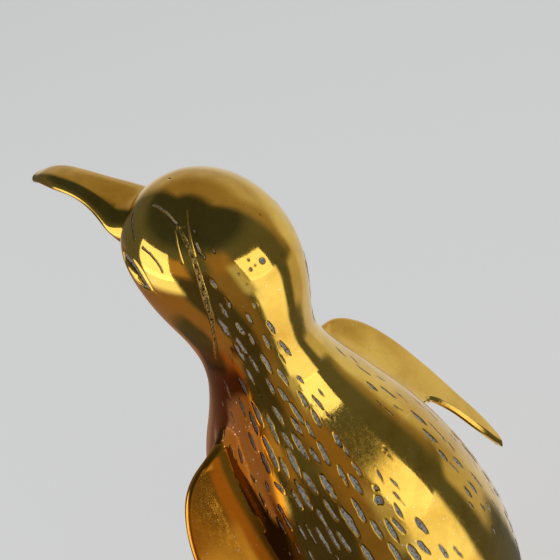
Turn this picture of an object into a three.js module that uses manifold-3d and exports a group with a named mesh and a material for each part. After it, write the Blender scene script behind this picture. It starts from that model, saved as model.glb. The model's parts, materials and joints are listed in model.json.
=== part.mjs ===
// A brass penguin ornament: a hollow casting in two halves, joined down the spine, with the bill,
// flippers, feet and tail let into it as castings of their own and a plate that closes it underneath.
// Millimetres. +Z is up, the bird faces -Y, and its left side is on +X.

import * as THREE from 'three';
import { mergeVertices } from 'three/addons/utils/BufferGeometryUtils.js';
import Module from 'manifold-3d';

const wasm = await Module();
wasm.setup();

// Heights of the body's sections, each as the rise from the section below it
const rimHeight = 12;
const thighRise = 30;
const bellyRise = 43;
const backRise = 35;
const shoulderRise = 30;
const napeRise = 26;
const neckRise = 27;
const headRise = 35;
const browRise = 22;
const crownRise = 10;

// Widths of the body's sections, side to side
const rimWidth = 75;
const thighWidth = 104;
const bellyWidth = 107;
const backWidth = 92;
const shoulderWidth = 76;
const napeWidth = 56;
const neckWidth = 39;
const headWidth = 50;
const browWidth = 40;

// Depths of the body's sections, breast to back
const rimDepth = 73;
const thighDepth = 108;
const bellyDepth = 121;
const backDepth = 119;
const shoulderDepth = 103;
const napeDepth = 70;
const neckDepth = 49;
const headDepth = 62;
const browDepth = 46;

// How far the middle of each section lies behind the upright line of the figure
const rimSetBack = 6;
const thighSetBack = 6;
const bellySetBack = 6.5;
const backSetBack = 6.5;
const shoulderSetBack = 5;
const napeSetBack = 3.5;
const neckSetBack = 2;
const headSetBack = 2;
const browSetBack = -1;

// Casting
const wall = 3;
const floorThickness = 5;
const jointGap = 0.3;
const lipThickness = 1.6;
const lipReach = 3;
const lipRoot = 4;

// Base plate
const plateThickness = 3;
const plateLedge = 3;
const rimLand = 6;
const plateChamfer = 0.8;
const ventRadius = 4;
const ventSetBack = 16;

// Eyes
const eyeLength = 14;
const eyeHeight = 7;
const eyeBulge = 1.5;
const eyeRise = 13.5;
const eyeAngle = -13;
const eyeSlope = 37;

// Bill
const billRootRise = 9;
const billRootDepth = 9;
const billLength = 63.5;
const billTipRise = 18.5;
const billArch = 26.5;
const billRootRadius = 14;
const billMiddleRadius = 7.2;
const billFrontRadius = 5.3;
const billTipRadius = 1.8;
const billFlatness = 0.87;
const billTenonRadius = 5;
const billTenonLength = 19;

// Flippers
const flipperLength = 110.5;
const flipperFlare = 21.5;
const flipperSweep = 18.6;
const flipperTurn = 57;
const flipperTopRise = 19.7;
const flipperStandOff = 5;
const flipperForward = 11.5;
const flipperThickness = 4.5;
const flipperShoulder = 17.3;
const flipperWaist = 11;
const flipperHeel = 2.4;
const flipperRootReach = 15;
const flipperBow = 3;
const flipperSwell = 0.9;
const tongueStart = 12;
const tongueLength = 22;
const tongueThickness = 2.6;
const tongueReach = 13;

// Feet
const footSpread = 38;
const footForward = 8;
const footTurn = 10;
const toeLength = 42;
const sideToeLength = 38;
const toeAngle = 21;
const toeWidth = 9;
const toeHeight = 7;
const toeTipWidth = 5;
const toeTipHeight = 4;
const webThickness = 2.6;
const heelLength = 13;
const ankleRadius = 10.5;
const legRadius = 8.5;
const legTenonRadius = 5;
const legTenonRise = 2;

// Tail
const tailWidth = 30;
const tailTipWidth = 16;
const tailRootThickness = 15;
const tailTipThickness = 5.4;
const tailRootHeight = 31;
const tailTipHeight = 0;
const tailRootInset = 5;
const tailReach = 26;
const tailTenonWidth = 16;
const tailTenonThickness = 7;
const tailTenonLength = 24;

// Facets
const facetsAround = 44;
const facetsUp = 34;
const cavityAround = 28;
const cavityUp = 22;

const brass = new THREE.MeshStandardMaterial({ color: 0xc79a3c, roughness: 0.18, metalness: 1 });
const brassDull = new THREE.MeshStandardMaterial({ color: 0x9c7a35, roughness: 0.45, metalness: 1 });

const degrees = Math.PI / 180;
const sideways = new THREE.Vector3(1, 0, 0);
const backwards = new THREE.Vector3(0, 1, 0);
const upright = new THREE.Vector3(0, 0, 1);

// Smooth curve through given heights and values, straight at both ends
function naturalSpline(xs, ys) {
  const last = xs.length - 1;
  const bend = new Array(last + 1).fill(0);
  const sweep = new Array(last + 1).fill(0);
  for (let i = 1; i < last; i += 1) {
    const before = xs[i] - xs[i - 1];
    const after = xs[i + 1] - xs[i];
    const turn = (ys[i + 1] - ys[i]) / after - (ys[i] - ys[i - 1]) / before;
    const pivot = 2 * (before + after) - before * sweep[i - 1];
    sweep[i] = after / pivot;
    bend[i] = (6 * turn - before * bend[i - 1]) / pivot;
  }
  for (let i = last - 1; i > 0; i -= 1) {
    bend[i] -= sweep[i] * bend[i + 1];
  }
  return (x) => {
    let i = 0;
    while (i < last - 1 && x > xs[i + 1]) {
      i += 1;
    }
    const span = xs[i + 1] - xs[i];
    const right = (x - xs[i]) / span;
    const left = 1 - right;
    const sag = (left ** 3 - left) * bend[i] + (right ** 3 - right) * bend[i + 1];
    return left * ys[i] + right * ys[i + 1] + (sag * span * span) / 6;
  };
}

// Body surface: ellipses whose half sizes follow the section list and close in a round crown
const rises = [thighRise, bellyRise, backRise, shoulderRise, napeRise, neckRise, headRise, browRise, crownRise];
const heights = rises.reduce((list, rise) => [...list, list[list.length - 1] + rise], [rimHeight]);
const widths = [
  rimWidth, thighWidth, bellyWidth, backWidth, shoulderWidth, napeWidth, neckWidth, headWidth, browWidth, 0,
];
const depths = [
  rimDepth, thighDepth, bellyDepth, backDepth, shoulderDepth, napeDepth, neckDepth, headDepth, browDepth, 0,
];
const setBacks = [
  rimSetBack, thighSetBack, bellySetBack, backSetBack, shoulderSetBack, napeSetBack, neckSetBack, headSetBack,
  browSetBack, browSetBack,
];
const shoulderHeight = heights[4];
const headHeight = heights[7];
const crownHeight = heights[9];
const widthSquared = naturalSpline(heights, widths.map((width) => (width / 2) ** 2));
const depthSquared = naturalSpline(heights, depths.map((depth) => (depth / 2) ** 2));
const middleAt = naturalSpline(heights, setBacks);

function halfWidthAt(z) {
  return Math.sqrt(Math.max(widthSquared(z), 0));
}

function halfDepthAt(z) {
  return Math.sqrt(Math.max(depthSquared(z), 0));
}

function skinPoint(z, angle) {
  const x = halfWidthAt(z) * Math.cos(angle);
  const y = middleAt(z) + halfDepthAt(z) * Math.sin(angle);
  return new THREE.Vector3(x, y, z);
}

function skinNormal(z, angle) {
  const step = 0.05;
  const up = Math.min(z + step, crownHeight - step / 5);
  const along = skinPoint(up, angle).sub(skinPoint(z - step, angle));
  const around = skinPoint(z, angle + step).sub(skinPoint(z, angle - step));
  return around.cross(along).normalize();
}

// Turns a closed triangle list into a solid for the boolean cuts
function solidOf(geometry) {
  const bare = geometry.index ? geometry.toNonIndexed() : geometry.clone();
  bare.deleteAttribute('normal');
  bare.deleteAttribute('uv');
  const merged = mergeVertices(bare, 1e-4);
  const triangles = [];
  for (let i = 0; i < merged.index.count; i += 3) {
    const corners = [merged.index.getX(i), merged.index.getX(i + 1), merged.index.getX(i + 2)];
    if (new Set(corners).size === 3) {
      triangles.push(...corners);
    }
  }
  const vertProperties = new Float32Array(merged.attributes.position.array);
  const triVerts = new Uint32Array(triangles);
  return new wasm.Manifold(new wasm.Mesh({ numProp: 3, vertProperties, triVerts }));
}

function geometryOf(solid) {
  const { vertProperties, triVerts } = solid.getMesh();
  const geometry = new THREE.BufferGeometry();
  geometry.setAttribute('position', new THREE.BufferAttribute(new Float32Array(vertProperties), 3));
  geometry.setIndex(new THREE.BufferAttribute(new Uint32Array(triVerts), 1));
  geometry.computeVertexNormals();
  return geometry;
}

// Closed skin through a list of rings with equal numbers of points, each end drawn to one point
function loft(rings, startPoint, endPoint) {
  const count = rings[0].length;
  const points = [startPoint, ...rings.flat(), endPoint];
  const endIndex = points.length - 1;
  const triangles = [];
  for (let j = 0; j < count; j += 1) {
    const next = (j + 1) % count;
    triangles.push(0, 1 + next, 1 + j);
    for (let i = 0; i < rings.length - 1; i += 1) {
      const low = 1 + i * count;
      const high = low + count;
      triangles.push(low + j, low + next, high + next);
      triangles.push(low + j, high + next, high + j);
    }
    const top = 1 + (rings.length - 1) * count;
    triangles.push(top + j, top + next, endIndex);
  }
  const geometry = new THREE.BufferGeometry();
  geometry.setFromPoints(points);
  geometry.setIndex(triangles);
  return solidOf(geometry);
}

function middleOf(ring) {
  return ring.reduce((sum, point) => sum.add(point), new THREE.Vector3()).divideScalar(ring.length);
}

// Oval ring about a centre, in the plane of two directions
function ovalRing(centre, side, up, halfSide, halfUp, count, squareness = 1) {
  const ring = [];
  for (let j = 0; j < count; j += 1) {
    const angle = (2 * Math.PI * j) / count;
    const across = Math.sign(Math.cos(angle)) * Math.abs(Math.cos(angle)) ** squareness;
    const rise = Math.sign(Math.sin(angle)) * Math.abs(Math.sin(angle)) ** squareness;
    const point = centre.clone().addScaledVector(side, halfSide * across);
    ring.push(point.addScaledVector(up, halfUp * rise));
  }
  return ring;
}

// Straight bar of oval section from one point to another
function ovalBar(from, to, side, halfSide, halfUp, count, squareness = 1) {
  const along = to.clone().sub(from).normalize();
  const up = along.clone().cross(side).normalize();
  const rings = [
    ovalRing(from, side, up, halfSide, halfUp, count, squareness),
    ovalRing(to, side, up, halfSide, halfUp, count, squareness),
  ];
  return loft(rings, from, to);
}

function boxBetween(low, high) {
  const size = high.clone().sub(low);
  const middle = high.clone().add(low).multiplyScalar(0.5);
  return solidOf(new THREE.BoxGeometry(size.x, size.y, size.z).translate(middle.x, middle.y, middle.z));
}

// The body surface moved inwards by a depth, as one closed solid
function bodySolid(depth, around, up) {
  const rings = [];
  for (let i = 0; i < up; i += 1) {
    const z = rimHeight + (crownHeight - rimHeight) * Math.sin((i / up) * (Math.PI / 2));
    const ring = [];
    for (let j = 0; j < around; j += 1) {
      const angle = (2 * Math.PI * j) / around;
      ring.push(skinPoint(z, angle).addScaledVector(skinNormal(z, angle), -depth));
    }
    rings.push(ring);
  }
  const crown = new THREE.Vector3(0, middleAt(crownHeight), crownHeight - depth);
  return loft(rings, middleOf(rings[0]), crown);
}

const farOut = 2 * crownHeight;

function above(z) {
  return boxBetween(new THREE.Vector3(-farOut, -farOut, z), new THREE.Vector3(farOut, farOut, farOut));
}

// Upright oval prism about the middle of the rim
function rimOval(halfWidth, halfDepth, low, high) {
  const from = new THREE.Vector3(0, rimSetBack, low);
  const to = new THREE.Vector3(0, rimSetBack, high);
  return ovalBar(from, to, new THREE.Vector3(1, 0, 0), halfWidth, halfDepth, facetsAround);
}

const plateHalfWidth = rimWidth / 2 - rimLand;
const plateHalfDepth = rimDepth / 2 - rimLand;
const seatTop = rimHeight + plateThickness + jointGap;
const cavityFloor = rimHeight + floorThickness;
const outerBody = bodySolid(0, facetsAround, facetsUp);
const clearBody = bodySolid(-jointGap, facetsAround, facetsUp);

const cavitySolid = bodySolid(wall, cavityAround, cavityUp).intersect(above(cavityFloor));

function castShell() {
  const mouth = rimOval(
    plateHalfWidth - plateLedge, plateHalfDepth - plateLedge, rimHeight - wall, cavityFloor + wall,
  );
  const seat = rimOval(plateHalfWidth + jointGap, plateHalfDepth + jointGap, rimHeight - wall, seatTop);
  return outerBody.subtract(cavitySolid).subtract(mouth).subtract(seat);
}

const seamHalf = jointGap / 2;

// Locating lip: cast inside the left half, it enters the right half with a clearance
function locatingLip() {
  const inner = bodySolid(wall + jointGap + lipThickness, cavityAround, cavityUp);
  const standing = bodySolid(wall + jointGap, cavityAround, cavityUp).subtract(inner);
  const rooted = bodySolid(wall - jointGap, cavityAround, cavityUp).subtract(inner);
  const lipFoot = cavityFloor + wall;
  const reach = boxBetween(
    new THREE.Vector3(-lipReach, -farOut, lipFoot), new THREE.Vector3(lipRoot, farOut, farOut),
  );
  const root = boxBetween(
    new THREE.Vector3(seamHalf, -farOut, lipFoot), new THREE.Vector3(lipRoot, farOut, farOut),
  );
  return standing.intersect(reach).add(rooted.intersect(root));
}

// The same solid on the other side of the upright plane x = 0
function mirrored(solid) {
  const { vertProperties, triVerts } = solid.getMesh();
  const flipped = vertProperties.map((value, i) => (i % 3 === 0 ? -value : value));
  const turned = triVerts.map((corner, i) => triVerts[i % 3 === 0 ? i : 3 * Math.floor(i / 3) + 3 - (i % 3)]);
  return new wasm.Manifold(new wasm.Mesh({ numProp: 3, vertProperties: flipped, triVerts: turned }));
}

function eye() {
  const z = headHeight + eyeRise;
  const angle = eyeAngle * degrees;
  const out = skinNormal(z, angle);
  const level = upright.clone().cross(out).normalize();
  const rise = out.clone().cross(level).normalize();
  const long = level.clone().multiplyScalar(Math.cos(eyeSlope * degrees));
  long.addScaledVector(rise, -Math.sin(eyeSlope * degrees));
  const tall = out.clone().cross(long).normalize();
  const ball = new THREE.SphereGeometry(1, 20, 12).toNonIndexed();
  ball.scale(eyeLength / 2, eyeHeight / 2, 2 * eyeBulge);
  ball.applyMatrix4(new THREE.Matrix4().makeBasis(long, tall, out));
  const seat = skinPoint(z, angle).addScaledVector(out, -eyeBulge);
  ball.translate(seat.x, seat.y, seat.z);
  return solidOf(ball);
}

// Bill: round sections along an arched line, drooping a little at the tip
const billRootY = headSetBack - headDepth / 2 + billRootDepth;
const billRootZ = headHeight + billRootRise;
const billLine = new THREE.QuadraticBezierCurve3(
  new THREE.Vector3(0, billRootY, billRootZ),
  new THREE.Vector3(0, billRootY - billLength / 2, billRootZ + billArch),
  new THREE.Vector3(0, billRootY - billLength, billRootZ + billTipRise),
);
const billRadiusSquared = naturalSpline(
  [0, 0.35, 0.7, 0.93, 1],
  [billRootRadius ** 2, billMiddleRadius ** 2, billFrontRadius ** 2, billTipRadius ** 2, 0],
);
// Round bar along the bill's root, from inside the head to inside the bill
function billTenonBar(radius, length) {
  const front = billLine.getPoint(0.25);
  const along = billLine.getTangent(0.15);
  const back = front.clone().addScaledVector(along, -length);
  return ovalBar(back, front, sideways, radius, radius, 24);
}

function billSolid() {
  const rings = [];
  const steps = 18;
  for (let i = 0; i < steps; i += 1) {
    const t = Math.sin((i / steps) * (Math.PI / 2));
    const radius = Math.sqrt(Math.max(billRadiusSquared(t), 0));
    const up = sideways.clone().cross(billLine.getTangent(t)).negate().normalize();
    rings.push(ovalRing(billLine.getPoint(t), sideways, up, radius * billFlatness, radius, 22));
  }
  const whole = loft(rings, billLine.getPoint(0), billLine.getPoint(1));
  return whole.subtract(clearBody).add(billTenonBar(billTenonRadius, billTenonLength));
}

// Flipper: a flat blade whose own plane is set by three angles, with its root against the shoulder
const flipperTop = shoulderHeight + flipperTopRise;
const flipperOrigin = new THREE.Vector3(
  halfWidthAt(flipperTop) + flipperStandOff, middleAt(flipperTop) - flipperForward, flipperTop,
);
const bladeDown = new THREE.Vector3(
  Math.sin(flipperFlare * degrees),
  Math.cos(flipperFlare * degrees) * Math.sin(flipperSweep * degrees),
  -Math.cos(flipperFlare * degrees) * Math.cos(flipperSweep * degrees),
);
const bladeSide = bladeDown.clone().cross(new THREE.Vector3(0, 1, 0)).normalize();
const bladeFront = bladeDown.clone().cross(bladeSide).normalize();
const bladeLead = bladeFront.clone().multiplyScalar(Math.cos(flipperTurn * degrees));
bladeLead.addScaledVector(bladeSide, Math.sin(flipperTurn * degrees));
const bladeOut = bladeLead.clone().cross(bladeDown).normalize();

function bladePoint(down, lead, out) {
  const point = flipperOrigin.clone().addScaledVector(bladeDown, down);
  return point.addScaledVector(bladeLead, lead).addScaledVector(bladeOut, out);
}

function bowAt(down) {
  const share = THREE.MathUtils.clamp(down / flipperLength, 0, 1);
  return flipperBow * 4 * share * (1 - share);
}

// Outline of the blade as pairs of down and lead distances, front edge then rear edge
const frontEdge = new THREE.SplineCurve([
  new THREE.Vector2(-9, -12),
  new THREE.Vector2(-5, 0),
  new THREE.Vector2(3.5, 11),
  new THREE.Vector2(16, flipperShoulder - 1),
  new THREE.Vector2(32, flipperShoulder),
  new THREE.Vector2(51, flipperShoulder - 2.6),
  new THREE.Vector2(70, flipperWaist),
  new THREE.Vector2(flipperLength - 20.5, flipperWaist - 3.3),
  new THREE.Vector2(flipperLength - 6.5, flipperWaist - 6.4),
  new THREE.Vector2(flipperLength, 0.8),
]);
const rearEdge = new THREE.SplineCurve([
  new THREE.Vector2(-9, -13),
  new THREE.Vector2(5, -flipperRootReach),
  new THREE.Vector2(20, -flipperRootReach),
  new THREE.Vector2(34, -flipperRootReach),
  new THREE.Vector2(46, 1.5 - flipperRootReach),
  new THREE.Vector2(56, -flipperHeel - 2.6),
  new THREE.Vector2(70, -flipperHeel),
  new THREE.Vector2(flipperLength - 22.5, -flipperHeel),
  new THREE.Vector2(flipperLength - 6.5, 0.4 - flipperHeel),
  new THREE.Vector2(flipperLength - 0.9, -0.8),
]);

function tongue(clearance) {
  const low = tongueStart - clearance;
  const high = tongueStart + tongueLength + clearance;
  const out = bowAt(tongueStart + tongueLength / 2);
  const lead = -tongueReach / 2;
  const half = tongueThickness / 2 + clearance;
  const from = bladePoint(low, lead, out);
  const to = bladePoint(high, lead, out);
  return ovalBar(from, to, bladeLead, tongueReach / 2 + clearance, half, 24, 0.4);
}

// The blade thickens towards the body, so that it grows out of the shoulder
function swellAt(down, lead) {
  const near = THREE.MathUtils.smoothstep(-lead, -flipperShoulder / 2, flipperRootReach / 2);
  const high = 1 - THREE.MathUtils.smoothstep(down, tongueStart + tongueLength, flipperLength / 2);
  return 1 + flipperSwell * near * high;
}

function flipperSolid() {
  const rings = [];
  const steps = 28;
  for (let i = 1; i < steps; i += 1) {
    const share = i / steps;
    const front = frontEdge.getPoint(share);
    const rear = rearEdge.getPoint(share);
    const down = (front.x + rear.x) / 2;
    const lead = (front.y + rear.y) / 2;
    const side = bladePoint(rear.x, rear.y, 0).sub(bladePoint(front.x, front.y, 0));
    const halfChord = side.length() / 2;
    side.normalize();
    const halfThickness = (flipperThickness / 2) * Math.min(1, Math.sqrt(2 * halfChord / flipperThickness));
    const centre = bladePoint(down, lead, bowAt(down));
    const ring = ovalRing(centre, side, bladeOut, halfChord, halfThickness, 22, 0.8);
    for (const point of ring) {
      const offset = point.clone().sub(centre);
      const swell = swellAt(down, lead + offset.dot(bladeLead));
      point.addScaledVector(bladeOut, offset.dot(bladeOut) * (swell - 1));
    }
    rings.push(ring);
  }
  const top = bladePoint(-9, -12.5, 0);
  const tip = bladePoint(flipperLength, 0, 0);
  return loft(rings, top, tip).subtract(clearBody).add(tongue(0));
}

// Feet: a web between three toes, a heel, and a short leg with a tenon through the base plate
const legTop = rimHeight - jointGap;
const footSide = footSpread / 2;

function toe(angle, length) {
  const along = new THREE.Vector3(Math.sin(angle), -Math.cos(angle), 0);
  const side = along.clone().cross(upright);
  const rings = [];
  const steps = 8;
  for (let i = 0; i <= steps; i += 1) {
    const share = Math.sin((i / (steps + 1)) * (Math.PI / 2));
    const round = Math.sqrt(1 - share ** 6);
    const halfWidth = (THREE.MathUtils.lerp(toeWidth, toeTipWidth, share) / 2) * round;
    const halfHeight = THREE.MathUtils.lerp(toeHeight, toeTipHeight, share) * round;
    rings.push(ovalRing(along.clone().multiplyScalar(length * share), side, upright, halfWidth, halfHeight, 16));
  }
  return loft(rings.reverse(), along.clone().multiplyScalar(length), new THREE.Vector3());
}

function web() {
  const spread = toeAngle * degrees;
  const tipX = sideToeLength * Math.sin(spread) * 0.94;
  const tipY = -sideToeLength * Math.cos(spread) * 0.94;
  const shape = new THREE.Shape();
  shape.moveTo(-ankleRadius * 0.8, heelLength / 2);
  shape.quadraticCurveTo(0, heelLength * 1.3, ankleRadius * 0.8, heelLength / 2);
  shape.quadraticCurveTo(tipX * 0.9, tipY / 3, tipX, tipY);
  shape.quadraticCurveTo(tipX * 0.6, tipY * 0.86, 0, -toeLength * 0.93);
  shape.quadraticCurveTo(-tipX * 0.6, tipY * 0.86, -tipX, tipY);
  shape.quadraticCurveTo(-tipX * 0.9, tipY / 3, -ankleRadius * 0.8, heelLength / 2);
  return solidOf(new THREE.ExtrudeGeometry(shape, { depth: webThickness, bevelEnabled: false, curveSegments: 8 }));
}

function footSolid() {
  const leg = [];
  const steps = 8;
  for (let i = 0; i <= steps; i += 1) {
    const share = i / steps;
    const radius = THREE.MathUtils.lerp(ankleRadius, legRadius, Math.sin((share * Math.PI) / 2));
    const centre = new THREE.Vector3(0, 0, legTop * share);
    leg.push(ovalRing(centre, sideways, backwards, radius, radius, 24));
  }
  const tenonTop = rimHeight + plateThickness + legTenonRise;
  const tenon = ovalBar(
    new THREE.Vector3(0, 0, legTop - 1), new THREE.Vector3(0, 0, tenonTop), sideways, legTenonRadius,
    legTenonRadius, 24,
  );
  const spread = toeAngle * degrees;
  const toes = toe(0, toeLength).add(toe(spread, sideToeLength)).add(toe(-spread, sideToeLength));
  const column = loft(leg, new THREE.Vector3(), new THREE.Vector3(0, 0, legTop));
  return column.add(tenon).add(web()).add(toes).intersect(above(0));
}

function plateSolid() {
  const low = rimHeight;
  const middle = (z) => new THREE.Vector3(0, rimSetBack, z);
  const edge = (z, inset) => ovalRing(
    middle(z), sideways, backwards, plateHalfWidth - inset, plateHalfDepth - inset, facetsAround,
  );
  const rings = [edge(low, plateChamfer), edge(low + plateChamfer, 0), edge(low + plateThickness, 0)];
  let plate = loft(rings, middle(low), middle(low + plateThickness));
  const drill = (x, y, radius) => ovalBar(
    new THREE.Vector3(x, y, low - wall), new THREE.Vector3(x, y, low + plateThickness + wall), sideways, radius,
    radius, 24,
  );
  for (const x of [-footSide, footSide]) {
    plate = plate.subtract(drill(x, rimSetBack - footForward, legTenonRadius + jointGap));
  }
  return plate.subtract(drill(0, rimSetBack + ventSetBack, ventRadius));
}

// Tail: a flat wedge from the lower back down to the ground
const tailRootY = middleAt(tailRootHeight) + halfDepthAt(tailRootHeight) - tailRootInset;
const tailRoot = new THREE.Vector3(0, tailRootY, tailRootHeight);
const tailTip = new THREE.Vector3(0, tailRootY + tailReach, tailTipHeight);
const tailAlong = tailTip.clone().sub(tailRoot).normalize();

function tailTenon(clearance, length) {
  const front = tailRoot.clone().addScaledVector(tailAlong, tailTenonLength / 2);
  const back = front.clone().addScaledVector(tailAlong, -length);
  const halfWidth = tailTenonWidth / 2 + clearance;
  return ovalBar(back, front, sideways, halfWidth, tailTenonThickness / 2 + clearance, 24, 0.4);
}

function tailSolid() {
  const rings = [];
  const steps = 12;
  const side = sideways.clone().negate();
  const up = tailAlong.clone().cross(side);
  for (let i = 0; i <= steps; i += 1) {
    const share = Math.sin((i / (steps + 1)) * (Math.PI / 2));
    const round = Math.sqrt(1 - share ** 8);
    const halfWidth = (THREE.MathUtils.lerp(tailWidth, tailTipWidth, share) / 2) * round;
    const halfHeight = (THREE.MathUtils.lerp(tailRootThickness, tailTipThickness, share ** 0.7) / 2) * round;
    const centre = tailRoot.clone().lerp(tailTip, share);
    rings.push(ovalRing(centre, side, up, halfWidth, halfHeight, 24, 0.85));
  }
  const whole = loft(rings, tailRoot, tailTip).intersect(above(0));
  return whole.subtract(clearBody).add(tailTenon(0, tailTenonLength));
}

// Every socket in the shell is cut by its neighbour's tenon, grown by the joint gap
const sockets = [
  billTenonBar(billTenonRadius + jointGap, billTenonLength + wall),
  tongue(jointGap),
  mirrored(tongue(jointGap)),
  tailTenon(jointGap, tailTenonLength + wall),
];

function bodyHalf(side) {
  const near = side > 0 ? seamHalf : -farOut;
  const far = side > 0 ? farOut : -seamHalf;
  const halfSpace = boxBetween(new THREE.Vector3(near, -farOut, -farOut), new THREE.Vector3(far, farOut, farOut));
  let half = castShell().intersect(halfSpace);
  half = half.add(side > 0 ? eye().subtract(cavitySolid) : mirrored(eye()).subtract(cavitySolid));
  if (side > 0) {
    half = half.add(locatingLip());
  }
  return sockets.reduce((solid, socket) => solid.subtract(socket), half);
}

const figure = new THREE.Group();

function place(name, solid, material, origin = new THREE.Vector3()) {
  const geometry = geometryOf(solid);
  geometry.translate(-origin.x, -origin.y, -origin.z);
  const mesh = new THREE.Mesh(geometry, material);
  mesh.name = name;
  mesh.position.copy(origin);
  figure.add(mesh);
  return mesh;
}

place('body_left_half', bodyHalf(1), brass);
place('body_right_half', bodyHalf(-1), brass);
place('bill', billSolid(), brass, billLine.getPoint(0));
place('left_flipper', flipperSolid(), brass, flipperOrigin);
place('right_flipper', mirrored(flipperSolid()), brass, flipperOrigin.clone().setX(-flipperOrigin.x));
place('tail', tailSolid(), brass, tailRoot);
place('base_plate', plateSolid(), brassDull);
for (const [name, side] of [['left_foot', 1], ['right_foot', -1]]) {
  const foot = place(name, footSolid(), brass);
  foot.position.set(side * footSide, rimSetBack - footForward, 0);
  foot.rotation.z = side * footTurn * degrees;
}

// The frame's origin is the middle of the figure's box, on the ground
const bounds = new THREE.Box3().setFromObject(figure);
const part = new THREE.Group();
figure.position.set(0, -(bounds.min.y + bounds.max.y) / 2, 0);
part.add(figure);

export default part;
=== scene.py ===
# Brass penguin ornament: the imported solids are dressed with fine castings, cut feather marks and
# polished brass. Shapes are worked out in millimetres, with +Z up, the bird facing -Y and its left on +X.

import json
import math

import bpy
import numpy as np
from mathutils import Matrix, Vector

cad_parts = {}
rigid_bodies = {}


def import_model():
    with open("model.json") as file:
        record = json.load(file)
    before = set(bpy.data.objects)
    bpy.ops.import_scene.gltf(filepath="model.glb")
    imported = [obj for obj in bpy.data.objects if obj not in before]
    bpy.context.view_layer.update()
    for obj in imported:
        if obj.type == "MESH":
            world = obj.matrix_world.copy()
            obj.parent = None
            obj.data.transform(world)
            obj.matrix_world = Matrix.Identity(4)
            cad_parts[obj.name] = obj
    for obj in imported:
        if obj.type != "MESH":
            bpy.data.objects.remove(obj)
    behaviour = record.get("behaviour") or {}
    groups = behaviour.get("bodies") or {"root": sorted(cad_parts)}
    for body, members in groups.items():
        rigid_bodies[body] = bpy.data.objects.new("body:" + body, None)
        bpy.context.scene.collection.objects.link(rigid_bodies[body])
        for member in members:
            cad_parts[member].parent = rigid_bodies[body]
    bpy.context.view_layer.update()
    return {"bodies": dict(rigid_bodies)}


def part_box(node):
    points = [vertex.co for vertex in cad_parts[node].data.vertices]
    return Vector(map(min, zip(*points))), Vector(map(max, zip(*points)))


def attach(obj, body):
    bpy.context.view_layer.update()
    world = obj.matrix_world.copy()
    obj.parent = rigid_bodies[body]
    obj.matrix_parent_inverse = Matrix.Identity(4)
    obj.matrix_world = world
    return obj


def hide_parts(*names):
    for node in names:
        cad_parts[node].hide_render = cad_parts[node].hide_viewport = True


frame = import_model()
BODY = list(frame["bodies"])[0]
MM = 0.001
HAND = {1: "left", -1: "right"}

# Sections of the body: height, half width, half depth, and how far back the middle lies
SECTIONS = np.array([
    (12, 37.5, 36.5, 6),
    (42, 52, 54, 6),
    (85, 53.5, 60.5, 6.5),
    (120, 46, 59.5, 6.5),
    (150, 38, 51.5, 5),
    (176, 28, 35, 3.5),
    (203, 19.5, 24.5, 2),
    (238, 25, 31, 2),
    (260, 20, 23, -1),
    (270, 0, 0, -1),
])
RIM = 12
CROWN = 270
WALL = 3

# Camera, measured from the outline of the figure in the photograph's square frame
EYE_POINT = np.array((136.043, 211.471, 374.529))
EYE_RIGHT = np.array((-0.589275, 0.720271, -0.366011))
EYE_UP = np.array((-0.628347, -0.123794, 0.768020))
EYE_AHEAD = np.array((-0.507872, -0.682557, -0.525529))
FRAME_SIDE = 560
FIELD_OF_VIEW = math.radians(36)
FOCAL_PIXELS = FRAME_SIDE / 2 / math.tan(FIELD_OF_VIEW / 2)
FIGURE_REACH = (120, 420)

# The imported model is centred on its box, so the shapes here move back by what the bill's tip shows
BILL_REACH = 83.55
SHIFT = np.array((0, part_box("bill")[0][1] / MM + BILL_REACH, 0))


def natural_spline(xs, ys):
    """Smooth curve through the given values, straight at both ends."""
    xs = np.asarray(xs, float)
    ys = np.asarray(ys, float)
    count = len(xs)
    span = np.diff(xs)
    matrix = np.eye(count)
    right = np.zeros(count)
    for i in range(1, count - 1):
        matrix[i, i - 1:i + 2] = span[i - 1], 2 * (span[i - 1] + span[i]), span[i]
        right[i] = 6 * ((ys[i + 1] - ys[i]) / span[i] - (ys[i] - ys[i - 1]) / span[i - 1])
    bend = np.linalg.solve(matrix, right)

    def value(x):
        x = np.asarray(x, float)
        i = np.clip(np.searchsorted(xs, x) - 1, 0, count - 2)
        near = (xs[i + 1] - x) / span[i]
        far = (x - xs[i]) / span[i]
        sag = (near ** 3 - near) * bend[i] + (far ** 3 - far) * bend[i + 1]
        return near * ys[i] + far * ys[i + 1] + sag * span[i] ** 2 / 6

    return value


def unit(v):
    return v / np.linalg.norm(v, axis=-1, keepdims=True)


def smooth(low, high, x):
    """0 below low, 1 above high, and an even curve between."""
    t = np.clip((np.asarray(x, float) - low) / (high - low), 0, 1)
    return t * t * (3 - 2 * t)


width_squared = natural_spline(SECTIONS[:, 0], SECTIONS[:, 1] ** 2)
depth_squared = natural_spline(SECTIONS[:, 0], SECTIONS[:, 2] ** 2)
set_back = natural_spline(SECTIONS[:, 0], SECTIONS[:, 3])


def half_width(z):
    return np.sqrt(np.maximum(width_squared(z), 1e-9))


def half_depth(z):
    return np.sqrt(np.maximum(depth_squared(z), 1e-9))


def skin(z, angle):
    """Points of the body's surface at a height and an angle about its upright line."""
    x = half_width(z) * np.cos(angle)
    y = set_back(z) + half_depth(z) * np.sin(angle)
    return np.stack([x, y, z + 0 * x], -1)


def skin_normal(z, angle):
    step = 0.02
    high = np.minimum(z + step, CROWN - 1e-3)
    low = np.minimum(z - step, CROWN - 2e-3)
    along = skin(high, angle) - skin(low, angle)
    around = skin(z, angle + step) - skin(z, angle - step)
    return unit(np.cross(around, along))


def level_at(points, z):
    """How far out points lie, as a share of the body's oval at a height."""
    y = points[..., 1] - set_back(z)
    return np.sqrt((points[..., 0] / half_width(z)) ** 2 + (y / half_depth(z)) ** 2)


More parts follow.
